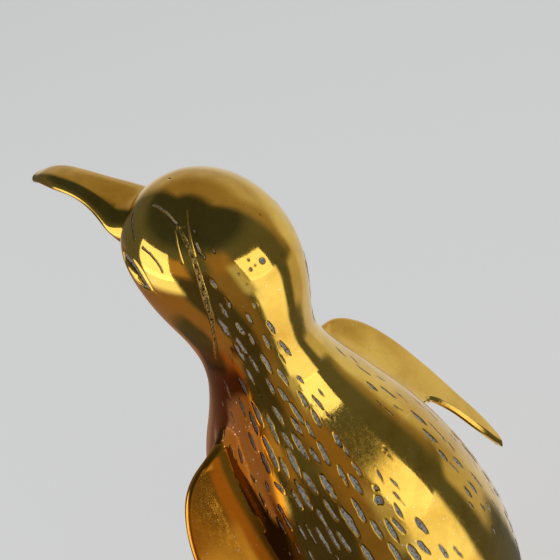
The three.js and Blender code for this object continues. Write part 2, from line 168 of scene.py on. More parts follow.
def body_distance(points):
    """About how far points lie outside the body's surface, right to first order."""
    z = np.clip(points[..., 2], RIM, CROWN - 0.05)
    level = level_at(points, z) + 1e-9
    step = 0.1
    high = np.minimum(z + step, CROWN - 0.04)
    slope_x = points[..., 0] / (half_width(z) ** 2 * level)
    slope_y = (points[..., 1] - set_back(z)) / (half_depth(z) ** 2 * level)
    slope_z = (level_at(points, high) - level_at(points, high - 2 * step)) / (2 * step)
    return (level - 1) / np.sqrt(slope_x ** 2 + slope_y ** 2 + slope_z ** 2)


def seen_at(column, row):
    """The point of the body's surface that the camera sees at a place in the 560 frame."""
    half = FRAME_SIDE / 2
    ray = unit(EYE_AHEAD * FOCAL_PIXELS + EYE_RIGHT * (column - half) - EYE_UP * (row - half))
    reach = np.linspace(*FIGURE_REACH, 1200)
    level = body_distance(EYE_POINT + reach[:, None] * ray)
    inside = np.nonzero(level < 0)[0]
    if len(inside) == 0:
        return EYE_POINT + reach[np.argmin(level)] * ray
    near = reach[inside[0] - 1]
    far = reach[inside[0]]
    for _ in range(24):
        middle = (near + far) / 2
        if body_distance((EYE_POINT + middle * ray)[None])[0] < 0:
            far = middle
        else:
            near = middle
    return EYE_POINT + far * ray


# Flipper blade, left side: its own origin and its down, lead and outward directions
BLADE_ORIGIN = np.array((35.41, -7.46, 169.68))
BLADE_DOWN = unit(np.array((0.3664, 0.2969, -0.8818)))
BLADE_LEAD = unit(np.array((0.8384, -0.5163, 0.1746)))
BLADE_OUT = unit(np.cross(BLADE_LEAD, BLADE_DOWN))
BLADE_LENGTH = 110.4
BLADE_THICKNESS = 4.5
BLADE_BOW = 3
FILLET = 9
FRONT_EDGE = np.array([
    (-9, -12), (-5, 0), (3.4, 11), (16, 16.3), (32, 17.3), (51, 14.7), (70, 11),
    (90, 7.7), (104, 4.6), (BLADE_LENGTH, 0.8),
])
REAR_EDGE = np.array([
    (-9, -13), (5, -15), (20, -15), (34, -15), (46, -13.5), (56, -5), (70, -2.4),
    (88, -2.4), (104, -2), (BLADE_LENGTH - 0.9, -0.8),
])


def through(points, count=150):
    """Even steps along a smooth open curve through the points."""
    padded = np.vstack([2 * points[0] - points[1], points, 2 * points[-1] - points[-2]])
    out = []
    for share in np.linspace(0, len(points) - 1, count):
        i = min(int(share), len(points) - 2)
        t = share - i
        a, b, c, d = padded[i:i + 4]
        straight = 2 * b + (c - a) * t
        out.append(0.5 * (straight + (2 * a - 5 * b + 4 * c - d) * t ** 2 + (3 * b - a - 3 * c + d) * t ** 3))
    return np.array(out)


FRONT_CURVE = through(FRONT_EDGE)
REAR_CURVE = through(REAR_EDGE)
BLADE_OUTLINE = np.vstack([FRONT_CURVE, REAR_CURVE[::-1]])


def bow_at(down):
    share = np.clip(down / BLADE_LENGTH, 0, 1)
    return BLADE_BOW * 4 * share * (1 - share)


def blade_point(down, lead, out):
    down = np.asarray(down, float)[..., None]
    lead = np.asarray(lead, float)[..., None]
    out = np.asarray(out, float)[..., None]
    return BLADE_ORIGIN + down * BLADE_DOWN + lead * BLADE_LEAD + out * BLADE_OUT


def outline_distance(down, lead):
    """Distance in the blade's plane to its outline, below zero inside."""
    start = BLADE_OUTLINE
    end = np.roll(BLADE_OUTLINE, -1, axis=0)
    edge = end - start
    nearest = np.full(down.shape, 1e9)
    crossings = np.zeros(down.shape, int)
    for (ax, ay), (ex, ey) in zip(start, edge):
        share = np.clip(((down - ax) * ex + (lead - ay) * ey) / (ex * ex + ey * ey), 0, 1)
        gap = (down - ax - share * ex) ** 2 + (lead - ay - share * ey) ** 2
        nearest = np.minimum(nearest, gap)
        above = (ay <= lead) != (ay + ey <= lead)
        cross_at = ax + (lead - ay) / ey * ex if ey else ax
        crossings += above & (down < cross_at)
    inside = crossings % 2 == 1
    return np.where(inside, -1, 1) * np.sqrt(nearest)


def blade_distance(points):
    """Distance to the left flipper's blade, a bowed plate with round edges."""
    offset = points - BLADE_ORIGIN
    down = offset @ BLADE_DOWN
    lead = offset @ BLADE_LEAD
    out = offset @ BLADE_OUT - bow_at(down)
    radius = BLADE_THICKNESS / 2
    side = np.maximum(outline_distance(down, lead) + radius, 0)
    return np.sqrt(side ** 2 + out ** 2) - radius


def joined(a, b):
    """Distance to two shapes joined by a fillet."""
    near = np.maximum(FILLET - np.abs(a - b), 0)
    return np.minimum(a, b) - near ** 2 / (4 * FILLET)


def push_out(points, normals, first, second):
    """How far points move along their normals to the filleted skin, a hair more near their own shape."""
    low = np.zeros(len(points))
    high = np.full(len(points), FILLET / 2)
    for _ in range(16):
        middle = (low + high) / 2
        moved = points + middle[:, None] * normals
        a = first(moved)
        b = second(moved)
        level = 0.05 * np.clip((b - a) / 3, -1, 1) * smooth(FILLET, 0.6 * FILLET, np.abs(b - a))
        inside = joined(a, b) < level
        low = np.where(inside, middle, low)
        high = np.where(inside, high, middle)
    return (low + high) / 2


def handed(points, side):
    """Turns points of the left side into those of a side, and back."""
    return points * np.array((side, 1, 1))


def wave_at(points, side):
    """The unevenness at a place of one side, given in the left side's coordinates."""
    return waviness(handed(points, side))


def fillet_normals(points, side):
    """Where the filleted and uneven skin faces, from its level on both sides of each point."""
    step = 0.05
    slope = np.zeros(points.shape)
    for axis in range(3):
        shift = np.zeros(3)
        shift[axis] = step
        for sign in (1, -1):
            place = points + sign * shift
            level = joined(body_distance(place), blade_distance(place)) - wave_at(place, side)
            slope[:, axis] += sign * level
    return unit(slope)


def values_of(items, name, width, kind=float):
    """One property of all the items, in rows of the given width."""
    values = np.zeros(len(items) * width, kind)
    items.foreach_get(name, values)
    return values.reshape(-1, width)


def face_along(piece, chosen, normals):
    """Shades the chosen points as the directions say, so that meshes that meet there look like one."""
    mesh = piece.data
    corners = values_of(mesh.corner_normals, "vector", 3, np.float32)
    vertex = values_of(mesh.loops, "vertex_index", 1, np.int32)[:, 0]
    wanted = np.zeros((len(mesh.vertices), 3), np.float32)
    wanted[chosen] = normals
    held = np.isin(vertex, chosen)
    corners[held] = wanted[vertex[held]]
    mesh.normals_split_custom_set(corners.tolist())


def new_object(name, data):
    made = bpy.data.objects.new(name, data)
    bpy.context.scene.collection.objects.link(made)
    return made


def build_mesh(name, points, faces, side=1):
    """A smooth piece, with the faces of the left side turned round for the right."""
    mesh = bpy.data.meshes.new(name)
    mesh.from_pydata(((points + SHIFT) * MM).tolist(), [], [face[::side] for face in faces])
    mesh.validate()
    mesh.shade_smooth()
    return new_object(name, mesh)


def tarnish_and_warm_reflection(points):
    """Where the brass is tinted orange to amber, partly tarnished and partly a painted warm reflection that
    dims the window's highlight: the flanks and the flippers, more on the left.
    """
    turn = np.degrees(np.arctan2(points[:, 1] - 2, np.abs(points[:, 0])))
    height = points[:, 2]
    flank = smooth(33, 21, turn) * smooth(-75, -35, turn) * smooth(226, 200, height) * smooth(25, 60, height)
    side = np.where(points[:, 0] > 0, 1, 0.25)
    return flank * side * (0.93 + 0.07 * np.sin(points @ np.array((0.11, 0.07, 0.09))))


def keep_masks(piece, warm, mark=-1.0, band=-1.0, line=-1.0):
    """Keeps each point's warm tint, from tarnishing and a painted reflection, and what is cut there on the
    mesh, for the material to read.
    """
    for name, values in (("mark", mark), ("band", band), ("line", line), ("warm", warm)):
        layer = piece.data.attributes.new(name, "FLOAT", "POINT")
        layer.data.foreach_set("value", np.full(len(layer.data), values, np.float32))


def ring_faces(rows, count):
    """Quads between rings of equal counts."""
    faces = []
    for low in range(0, (rows - 1) * count, count):
        high = low + count
        for j in range(count):
            k = (j + 1) % count
            faces.append((low + j, low + k, high + k, high + j))
    return faces


def loft_faces(rows, count):
    """Quads between rings, and at each end a fan from one of the two points after the rings."""
    faces = ring_faces(rows, count)
    top = (rows - 1) * count
    start = rows * count
    for j in range(count):
        k = (j + 1) % count
        faces.append((start, k, j))
        faces.append((top + j, top + k, start + 1))
    return faces


# Feather marks, read off enlargements of the photograph: where each starts and ends, and its width
NECK_VIEW = (100, 155, 6.817)
NECK_MARKS = [
    (650, 595, 715, 710, 28), (640, 510, 660, 545, 12), (765, 638, 787, 672, 16), (755, 840, 800, 918, 28),
    (855, 970, 890, 1045, 20), (815, 1012, 872, 1112, 32), (1043, 1008, 1066, 1042, 16),
    (990, 1068, 1046, 1162, 20), (803, 1112, 884, 1240, 42), (924, 1138, 988, 1234, 36),
    (1138, 1133, 1192, 1220, 34), (1108, 1218, 1164, 1325, 26), (1014, 1216, 1058, 1304, 24),
    (1224, 1272, 1304, 1368, 36), (918, 1240, 1004, 1366, 36), (912, 1285, 988, 1418, 32),
    (1014, 1366, 1090, 1496, 30), (1094, 1356, 1174, 1490, 36), (1222, 1362, 1268, 1424, 20),
    (998, 1466, 1048, 1562, 34), (1206, 1446, 1280, 1568, 26),
]
BACK_VIEW = (180, 330, 6.533)
BACK_MARKS = [
    (280, 315, 332, 437, 22), (380, 310, 437, 422, 30), (560, 310, 622, 427, 32), (763, 298, 807, 348, 26),
    (500, 370, 530, 445, 9), (638, 378, 708, 473, 36), (768, 402, 842, 508, 38), (863, 427, 938, 518, 30),
    (903, 383, 947, 437, 14), (378, 428, 437, 588, 24), (473, 478, 548, 638, 38), (598, 488, 680, 632, 36),
    (718, 478, 808, 618, 38), (858, 512, 922, 638, 28), (943, 528, 1007, 587, 22), (453, 532, 512, 682, 30),
    (563, 548, 647, 748, 36), (722, 568, 798, 692, 40), (823, 603, 882, 712, 34), (443, 663, 502, 797, 28),
    (658, 662, 738, 788, 34), (733, 677, 835, 848, 48), (1003, 668, 1052, 762, 38),
    (548, 702, 643, 918, 46), (698, 772, 785, 958, 42), (848, 778, 912, 873, 36), (898, 732, 983, 892, 38),
    (1063, 738, 1112, 833, 22), (1155, 785, 1187, 832, 9), (528, 797, 595, 948, 36),
    (643, 827, 713, 968, 32), (803, 927, 898, 1078, 46), (908, 942, 1022, 1113, 52),
    (1028, 877, 1098, 1028, 38), (1123, 857, 1192, 967, 22), (1103, 942, 1193, 1078, 44),
    (1285, 908, 1332, 1003, 16), (618, 998, 683, 1068, 26), (748, 978, 863, 1178, 50),
    (728, 1048, 798, 1168, 32), (933, 1098, 1033, 1248, 42), (1048, 1162, 1175, 1358, 48),
    (1123, 1102, 1213, 1263, 40), (1273, 1013, 1302, 1052, 24), (1273, 1080, 1327, 1137, 44),
    (1238, 1228, 1323, 1368, 36), (1338, 1238, 1433, 1393, 40), (1383, 1232, 1468, 1328, 36),
    (1398, 1132, 1448, 1228, 30), (1393, 1058, 1472, 1148, 12), (1373, 963, 1437, 1042, 12),
    (888, 1162, 968, 1303, 36), (958, 1288, 1053, 1453, 40), (883, 1282, 988, 1463, 36),
    (1028, 1318, 1123, 1458, 42), (758, 1248, 823, 1373, 28), (813, 1258, 893, 1408, 28),
    (1178, 1398, 1268, 1530, 46), (1358, 1388, 1458, 1530, 42), (1488, 1402, 1573, 1493, 36),
    (1538, 1228, 1578, 1298, 30), (638, 1138, 728, 1303, 26), (628, 1218, 693, 1333, 24),
    (545, 950, 587, 1077, 16), (458, 918, 502, 1012, 14), (383, 918, 432, 1032, 14),
    (308, 858, 367, 962, 28), (228, 798, 272, 902, 20), (438, 788, 472, 852, 14),
    (1008, 1458, 1058, 1540, 26), (828, 1428, 878, 1520, 22), (733, 1368, 792, 1483, 20),
    (688, 1398, 733, 1483, 14), (513, 1038, 583, 1192, 14), (453, 1028, 522, 1152, 12),
    (243, 578, 264, 672, 10), (298, 638, 322, 732, 10), (343, 728, 378, 833, 14), (383, 748, 422, 882, 14),
    (273, 733, 302, 812, 12), (333, 538, 357, 612, 10), (268, 438, 297, 522, 10), (325, 165, 350, 225, 9),
]
RIGHT_VIEW = (330, 330, 6.815)
RIGHT_MARKS = [
    (35, 110, 112, 182, 16), (128, 162, 202, 242, 12), (178, 238, 272, 308, 18), (248, 355, 322, 418, 24),
    (338, 382, 453, 467, 20), (203, 148, 303, 237, 10), (308, 313, 382, 352, 10), (398, 288, 482, 352, 10),
    (453, 422, 533, 497, 14), (428, 513, 497, 553, 12), (553, 552, 663, 653, 26), (558, 458, 642, 537, 10),
    (638, 518, 733, 622, 10), (313, 478, 347, 523, 10), (368, 528, 427, 583, 12), (633, 678, 733, 768, 28),
    (668, 622, 742, 702, 12), (743, 698, 793, 763, 14), (803, 758, 853, 823, 16), (738, 817, 801, 893, 28),
    (843, 867, 913, 943, 26), (813, 898, 882, 973, 12), (798, 688, 873, 773, 10),
    (948, 957, 1043, 1078, 18), (943, 1027, 1008, 1113, 24), (913, 1062, 978, 1153, 22),
    (963, 878, 1012, 962, 10), (1068, 1038, 1122, 1132, 10), (1028, 1177, 1062, 1233, 18),
    (1068, 1177, 1102, 1243, 14), (1098, 1158, 1162, 1252, 10), (948, 1178, 982, 1213, 10),
    (1098, 1327, 1142, 1403, 16), (1163, 1367, 1192, 1423, 12), (583, 1282, 671, 1393, 32),
    (593, 1437, 683, 1533, 30), (738, 1457, 808, 1553, 26), (843, 1477, 908, 1553, 20),
    (528, 1467, 618, 1590, 34),
]
# Rough creases on the left flank, dark with painted shade rather than chalky
FLANK_VIEW = (180, 420, 7.5)
CREASES = [(440, 535, 560, 690, 62), (520, 630, 655, 815, 78), (372, 392, 418, 540, 36)]
CREASE_MARK = 0.17
# Round casting pits: place and radius
NECK_PITS = [
    (1106, 720, 23), (1010, 713, 10), (1057, 752, 9), (1025, 780, 13), (943, 812, 8), (1090, 408, 6),
    (1000, 880, 6),
]
RIGHT_PITS = [
    (330, 1160, 30), (310, 1078, 16), (378, 805, 9), (372, 830, 7), (398, 850, 8), (388, 822, 6),
    (415, 870, 7),
]
# Lines on the head, cuts painted brighter gold as a highlight and rough scratches, and their width
CUT_LINES = [
    [(597, 380), (600, 470), (618, 580), (648, 692), 15],
    [(578, 492), (545, 497), (514, 522), (528, 620), (560, 735), 14],
]
ROUGH_LINES = [
    [(225, 402), (219, 440), (224, 500), (238, 578), 14],
    [(288, 628), (340, 668), (385, 722), (412, 762), (428, 798), 13],
    [(362, 338), (400, 352), (445, 385), (482, 425), (522, 472), 18],
]
# The rough band behind the cheek: place and width along its length
BAND = [
    (520, 480, 20), (560, 540, 34), (600, 620, 42), (640, 712, 44), (675, 820, 50), (705, 930, 62),
    (730, 1020, 66), (755, 1090, 52), (770, 1180, 34), (785, 1280, 24), (790, 1390, 14),
]
# Eye: almond outline on the side of the head
EYE_FRONT = (20.4, -12.3, 254.7)
EYE_BACK = (24.6, -1, 246.3)
EYE_HALF_HEIGHT = 2.7

SEED = 11


def from_view(view, x, y):
    """A place in an enlargement as a place in the 560 frame."""
    return view[0] + x / view[2], view[1] + y / view[2]


def millimetres(view, width, point):
    """The real size of a width in an enlargement, at a point's distance from the camera."""
    distance = (point - EYE_POINT) @ EYE_AHEAD
    return width / view[2] * distance / FOCAL_PIXELS


def seen_marks(view, rows, slimmer=1):
    """Marks on the skin from the lists, made slimmer where they were read with their rims."""
    marks = []
    for x0, y0, x1, y1, width in rows:
        start = seen_at(*from_view(view, x0, y0))
        end = seen_at(*from_view(view, x1, y1))
        wide = slimmer * millimetres(view, width, start)
        long = np.linalg.norm(end - start)
        if 1.2 < long < 20:
            marks.append(((start + end) / 2, (end - start) / long, long / 2, wide / 2))
    return marks


def angle_at(point):
    """A point's angle about the body's upright line."""
    z = point[2]
    return math.atan2((point[1] - float(set_back(z))) / float(half_depth(z)), point[0] / float(half_width(z)))


def in_view(point):
    """True where the photograph shows this part of the skin, so that its marks are in the lists."""
    offset = point - EYE_POINT
    ahead = offset @ EYE_AHEAD
    column = FRAME_SIDE / 2 + FOCAL_PIXELS * (offset @ EYE_RIGHT) / ahead
    row = FRAME_SIDE / 2 - FOCAL_PIXELS * (offset @ EYE_UP) / ahead
    angle = angle_at(point)
    facing = skin_normal(point[2], angle) @ offset / np.linalg.norm(offset)
    return facing < -0.12 and column < FRAME_SIDE + 12 and row < FRAME_SIDE + 12


# Depths and rises of what is cut
MARK_DEPTH = 0.5
RIM_RISE = 0.02
RAGGED = 0.13
LINE_DEPTH = 0.35
BAND_DEPTH = 0.3
BAND_SHARE = 0.7
EYE_RISE = 1.3
EYE_RING_DEPTH = 0.55
EYE_RING_HALF_WIDTH = 0.75
# The coat's lower and upper end, the pitch of its rows, and the pitch of the marks in a row
COAT = (34, 236)
ROW_PITCH = 4.5
MARK_PITCH = 8.6
# Degrees on each side of the spine where the coat begins
SPINE_GAP = 15


def unseen_marks():
    """Marks of the same kind where the photograph doesn't show the coat, on both sides."""
    chance = np.random.default_rng(SEED)
    marks = []
    for row, z in enumerate(np.arange(*COAT, ROW_PITCH)):
        w = float(half_width(z))
        d = float(half_depth(z))
        around = 2 * math.pi * math.sqrt((w * w + d * d) / 2)
        count = int(around / MARK_PITCH)
        coat_edge = 104 - 18 * float(smooth(90, 190, z))
        for k in range(count):
            turn = 2 * math.pi * (k + 0.5 * (row % 2)) / count + chance.uniform(-1.3, 1.3) / w
            level = z + chance.uniform(-1.4, 1.4)
            half_long = chance.uniform(2.6, 4.4)
            half_wide = chance.uniform(0.7, 1.2)
            lean = chance.uniform(-0.12, 0.12)
            from_spine = abs(math.degrees(turn) % 360 - 90)
            from_spine = min(from_spine, 360 - from_spine)
            if not SPINE_GAP <= from_spine <= coat_edge:
                continue
            point = skin(level, turn)
            if in_view(point):
                continue
            down = unit(skin(level - 0.5, turn) - point)
            side = np.cross(skin_normal(level, turn), down)
            marks.append((point, unit(down + lean * side), half_long, half_wide))
    return marks


def on_side(marks, side):
    """The marks of one half, in the left half's own coordinates."""
    out = []
    for centre, along, half_long, half_wide in marks:
        if centre[0] * side >= 0:
            out.append((handed(centre, side), handed(along, side), half_long, half_wide))
    return out


class Relief:
    """Heights and mask values cut into a grid of surface points."""

    def __init__(self, points, normals, heights, angles):
        self.points = points
        self.normals = normals
        self.heights = heights
        self.angles = angles
        shape = points.shape[:2]
        self.raised = np.zeros(shape)
        self.mark = np.full(shape, -1.0)
        self.band = np.full(shape, -1.0)
        self.line = np.full(shape, -1.0)
        grain = np.random.default_rng(SEED + 3).normal(size=shape)
        for _ in range(2):
            grain[1:-1] = (grain[:-2] + grain[1:-1] + grain[2:]) / 3
            grain[:, 1:-1] = (grain[:, :-2] + grain[:, 1:-1] + grain[:, 2:]) / 3
        self.fuzz = grain / grain.std()

    def window(self, centre, reach):
        """The rows and columns around a place."""
        z = centre[2]
        radius = max(min(float(half_width(z)), float(half_depth(z))), 4)
        rows = np.nonzero(np.abs(self.heights - z) < reach)[0]
        columns = np.nonzero(np.abs(self.angles - angle_at(centre)) < reach / radius)[0]
        return slice(rows[0], rows[-1] + 1), slice(columns[0], columns[-1] + 1)

    def stamp(self, mask, window, inside, most=1):
        """Keeps how far inside a cut the points lie, where that is more than before."""
        mask[window] = np.maximum(mask[window], np.clip(inside, -1, most))

    def leaf(self, centre, along, half_long, half_wide, most=1):
        """One pointed mark with a rough floor and a thin raised rim."""
        window = self.window(centre, half_long + 1.5)
        offset = self.points[window] - centre
        side = np.cross(self.normals[window], along)
        run = offset @ along
        across = np.abs((offset * side).sum(-1))
        share = np.clip(np.abs(run) / half_long, 0, 1)
        edge = half_wide * (1 - share ** 2) ** 0.6
        past = np.maximum(np.abs(run) - half_long, 0)
        inside = np.where(past > 0, -np.sqrt(past ** 2 + across ** 2), edge - across)
        inside = inside + RAGGED * self.fuzz[window]
        deep = min(MARK_DEPTH, 0.55 * half_wide)
        self.raised[window] -= deep * smooth(-0.1, 0.5, inside)
        self.raised[window] += RIM_RISE * np.exp(-((inside + 0.3) / 0.3) ** 2)
        self.stamp(self.mark, window, inside, most)

    def pit(self, centre, radius):
        window = self.window(centre, radius + 1.2)
        inside = radius - np.linalg.norm(self.points[window] - centre, axis=-1)
        self.raised[window] -= min(MARK_DEPTH, 0.8 * radius) * smooth(-0.1, 0.7, inside)
        self.stamp(self.mark, window, inside)

    def path(self, points, half_widths, deep, mask):
        """A groove along a line of points on the skin."""
        for a, b, wide_a, wide_b in zip(points[:-1], points[1:], half_widths[:-1], half_widths[1:]):
            run = b - a
            length = np.linalg.norm(run)
            window = self.window((a + b) / 2, length / 2 + max(wide_a, wide_b) + 1.2)
            offset = self.points[window] - a
            share = np.clip(offset @ run / length ** 2, 0, 1)
            gap = np.linalg.norm(offset - share[..., None] * run, axis=-1)
            before = smooth(-0.15, 0.45, mask[window])
            inside = wide_a + (wide_b - wide_a) * share - gap
            after = smooth(-0.15, 0.45, np.maximum(mask[window], inside))
            self.raised[window] -= deep * (after - before)
            self.stamp(mask, window, inside)

    def almond(self, front, back, half_high):
        """The eye: a low dome inside a cut ring."""
        centre = (front + back) / 2
        long = np.linalg.norm(back - front)
        along = (back - front) / long
        window = self.window(centre, long)
        offset = self.points[window] - centre
        run = np.clip(offset @ along / (long / 2), -1.3, 1.3)
        across = np.abs((offset * np.cross(self.normals[window], along)).sum(-1))
        inside = half_high * (1 - run ** 2) - across
        self.raised[window] += EYE_RISE * smooth(0, half_high, inside)
        ring = EYE_RING_HALF_WIDTH - np.abs(inside)
        self.raised[window] -= EYE_RING_DEPTH * smooth(-0.1, 0.6, ring)
        self.raised[window] += 0.25 * np.exp(-((inside + 1.3) / 0.5) ** 2)
        self.stamp(self.mark, window, ring, 0.35)


WAVES = []
wave_chance = np.random.default_rng(SEED + 1)
for wavelength, amplitude in ((52, 0.07), (30, 0.035), (19, 0.018), (11, 0.007)):
    for _ in range(5):
        heading = unit(wave_chance.normal(size=3))
        WAVES.append((heading * 2 * math.pi / wavelength, wave_chance.uniform(0, 6.3), amplitude))


def waviness(points):
    """The low, wide unevenness that hand polishing leaves."""
    total = np.zeros(points.shape[:-1])
    for wave, phase, amplitude in WAVES:
        total += amplitude * np.sin(points @ wave + phase)
    return total


def spread(low, high, count, density):
    """Steps from low to high, closer together where the density is higher."""
    fine = np.linspace(low, high, 4000)
    weight = density(fine)
    total = np.concatenate([[0], np.cumsum((weight[1:] + weight[:-1]) / 2 * np.diff(fine))])
    return np.interp(np.linspace(0, total[-1], count), total, fine)


def meridian_density(z):
    """Length of the back's profile for each step of height, less where nothing is cut."""
    step = 0.01
    z = np.clip(z, RIM + step, CROWN - 2 * step)
    rise = (half_depth(z + step) - half_depth(z - step)) / (2 * step)
    fine = (0.45 + 0.55 * smooth(28, 42, z)) * (1 + 0.7 * smooth(212, 232, z))
    return np.sqrt(1 + rise ** 2) * fine


def angle_density(angle):
    return 0.38 + 0.62 * smooth(-62, -40, np.degrees(angle))


# Grid of a half: rings, and columns outside and inside in each ring
ROWS = 500
COLUMNS = 330
INNER_COLUMNS = 30
RING = COLUMNS + INNER_COLUMNS
SEAT_HALF_WIDTH = 31.8
SEAT_HALF_DEPTH = 30.8
SEAT_TOP = 15.3
CAVITY_FLOOR = 17


def body_grid():
    """Heights and angles of a half's outside, with a narrow column beside each seam."""
    heights = spread(RIM, CROWN, ROWS + 1, meridian_density)[:-1]
    angles = spread(-math.pi / 2, math.pi / 2, COLUMNS - 2, angle_density)
    close = math.radians(0.1)
    angles = np.concatenate([[angles[0], angles[0] + close], angles[1:-1], [angles[-1] - close, angles[-1]]])
    return heights, angles


def inner_arc(z, angles):
    """The hollow side of a half at one height: the base plate's seat, then the wall's inside."""
    if z < SEAT_TOP:
        x = SEAT_HALF_WIDTH * np.cos(angles)
        y = SECTIONS[0, 3] + SEAT_HALF_DEPTH * np.sin(angles)
        arc = np.stack([x, y, z + 0 * x], -1)
    else:
        heights = np.full(angles.shape, max(z, CAVITY_FLOOR))
        arc = skin(heights, angles) - WALL * skin_normal(heights, angles)
    arc[:, 0] = np.maximum(arc[:, 0], 0)
    return arc


def cut_half(relief, side, marks):
    """Cuts what the photograph shows on one half, and its eye, into the relief."""
    for mark in on_side(marks, side):
        relief.leaf(*mark)
    for crease in on_side(seen_marks(FLANK_VIEW, CREASES), side):
        relief.leaf(*crease, CREASE_MARK)
    for view, pits in ((NECK_VIEW, NECK_PITS), (RIGHT_VIEW, RIGHT_PITS)):
        for x, y, radius in pits:
            centre = seen_at(*from_view(view, x, y))
            if centre[0] * side > 0:
                relief.pit(handed(centre, side), millimetres(view, radius, centre))
    for lines, mask in ((CUT_LINES, relief.line), (ROUGH_LINES, relief.mark)):
        for line in lines if side > 0 else []:
            points = [seen_at(*from_view(NECK_VIEW, x, y)) for x, y in line[:-1]]
            half = millimetres(NECK_VIEW, line[-1], points[0]) / 2
            relief.path(points, [half] * len(points), LINE_DEPTH, mask)
    band = BAND if side > 0 else BAND[4:]
    points = [seen_at(*from_view(NECK_VIEW, x, y)) for x, y, _ in band]
    halves = [BAND_SHARE * millimetres(NECK_VIEW, width, points[0]) / 2 for _, _, width in band]
    relief.path(points, halves, BAND_DEPTH, relief.band)
    relief.almond(np.array(EYE_FRONT), np.array(EYE_BACK), EYE_HALF_HEIGHT)
    stipple = np.random.default_rng(SEED + 2).normal(size=relief.band.shape)
    relief.raised += 0.09 * stipple * smooth(0, 0.4, relief.band)
    relief.raised += 0.05 * stipple * smooth(0.1, 0.5, relief.mark)


def half_faces(angles, inner_angles):
    """Quads between the rings, then the closed crown and the flat ring underneath."""
    top = (ROWS - 1) * RING
    apex = ROWS * RING
    faces = ring_faces(ROWS, RING)
    faces += [(top + j, top + j + 1, apex) for j in range(COLUMNS - 1)]
    faces.append((top + COLUMNS - 1, top + COLUMNS, apex + 1, apex))
    faces += [(top + j, top + j + 1, apex + 1) for j in range(COLUMNS, RING - 1)]
    faces.append((top + RING - 1, top, apex, apex + 1))
    outside = COLUMNS - 1
    inside = COLUMNS
    while outside > 0 or inside < RING - 1:
        next_outside = angles[outside - 1] if outside > 0 else -9
        next_inside = inner_angles[inside - COLUMNS + 1] if inside < RING - 1 else -9
        if next_outside > next_inside:
            faces.append((outside, outside - 1, inside))
            outside -= 1
        else:
            faces.append((outside, inside + 1, inside))
            inside += 1
    return faces


def sharpen_seam(piece):
    """Keeps the shading of the seam's flat edge out of the smooth skin beside it."""
    mesh = piece.data
    column = values_of(mesh.edges, "vertices", 2, int) % RING
    same = column[:, 0] == column[:, 1]
    corner = np.isin(column[:, 0], (0, COLUMNS - 1, COLUMNS, RING - 1))
    layer = mesh.attributes.new("sharp_edge", "BOOLEAN", "EDGE")
    layer.data.foreach_set("value", same & corner)


def near_blade(points):
    """Which points lie close enough to the flipper to join its fillet."""
    offset = points - BLADE_ORIGIN
    down = offset @ BLADE_DOWN
    out = np.abs(offset @ BLADE_OUT)
    lead = np.abs(offset @ BLADE_LEAD)
    near = (down > -25) & (down < BLADE_LENGTH) & (out < 30) & (lead < 34)
    near[near] = blade_distance(points[near]) < FILLET
    return near


def body_half(side, marks):
    """One half of the hollow casting, as rings that run round the outside and back along the inside."""
    heights, angles = body_grid()
    z, a = np.meshgrid(heights, angles, indexing="ij")
    outer = skin(z, a)
    normals = skin_normal(z, a)
    relief = Relief(outer, normals, heights, angles)
    cut_half(relief, side, marks)
    near = near_blade(outer)
    lift = np.zeros(near.shape)
    lift[near] = push_out(outer[near], normals[near], body_distance, blade_distance)
    outer = outer + lift[..., None] * normals
    lift = relief.raised + wave_at(outer, side)
    outer = outer + lift[..., None] * normals
    rows, columns = np.nonzero(near & (relief.mark < -0.7) & (relief.band < -0.7))
    joined_normals = fillet_normals(outer[rows, columns], side)
    outer[..., 0] = np.maximum(outer[..., 0], 0)
    inner_angles = np.linspace(math.pi / 2, -math.pi / 2, INNER_COLUMNS)
    rings = [np.vstack([ring, inner_arc(height, inner_angles)]) for ring, height in zip(outer, heights)]
    crown = np.array([[0, set_back(CROWN), CROWN], [0, set_back(CROWN), CROWN - WALL]])
    crown[0, 2] += waviness(crown[0])
    points = handed(np.vstack([*rings, crown]), side)
    masks = []
    for mask in (relief.mark, relief.band, relief.line):
        whole = np.pad(mask, ((0, 0), (0, INNER_COLUMNS)), constant_values=-1.0)
        masks.append(np.append(whole, [-1, -1]))
    piece = build_mesh(f"{HAND[side]}_half_casting", points, half_faces(angles, inner_angles), side)
    keep_masks(piece, tarnish_and_warm_reflection(points), *masks)
    sharpen_seam(piece)
    face_along(piece, rows * RING + columns, handed(joined_normals, side))
    return piece


BLADE_ROWS = 190
BLADE_START = -8.6
# How much of the painted warm reflection and tarnishing each flipper takes at most
BLADE_TARNISH_AND_REFLECTION = {1: 0.35, -1: 0.08}
# The blade's blunt rear edge: share of its turn, and how far it reaches back and out there
BLUNT_SHARE = (0, 0.05, 0.5, 0.88, 1)
BLUNT_REACH = (0, 0.06, 0.50, 0.46, 0)
BLUNT_OUT = (1, 0.97, 0.04, -0.86, -1)


def blade_density(down):
    return 1 + 4 * smooth(-5.5, BLADE_START, down) + 3 * smooth(107, 110, down)


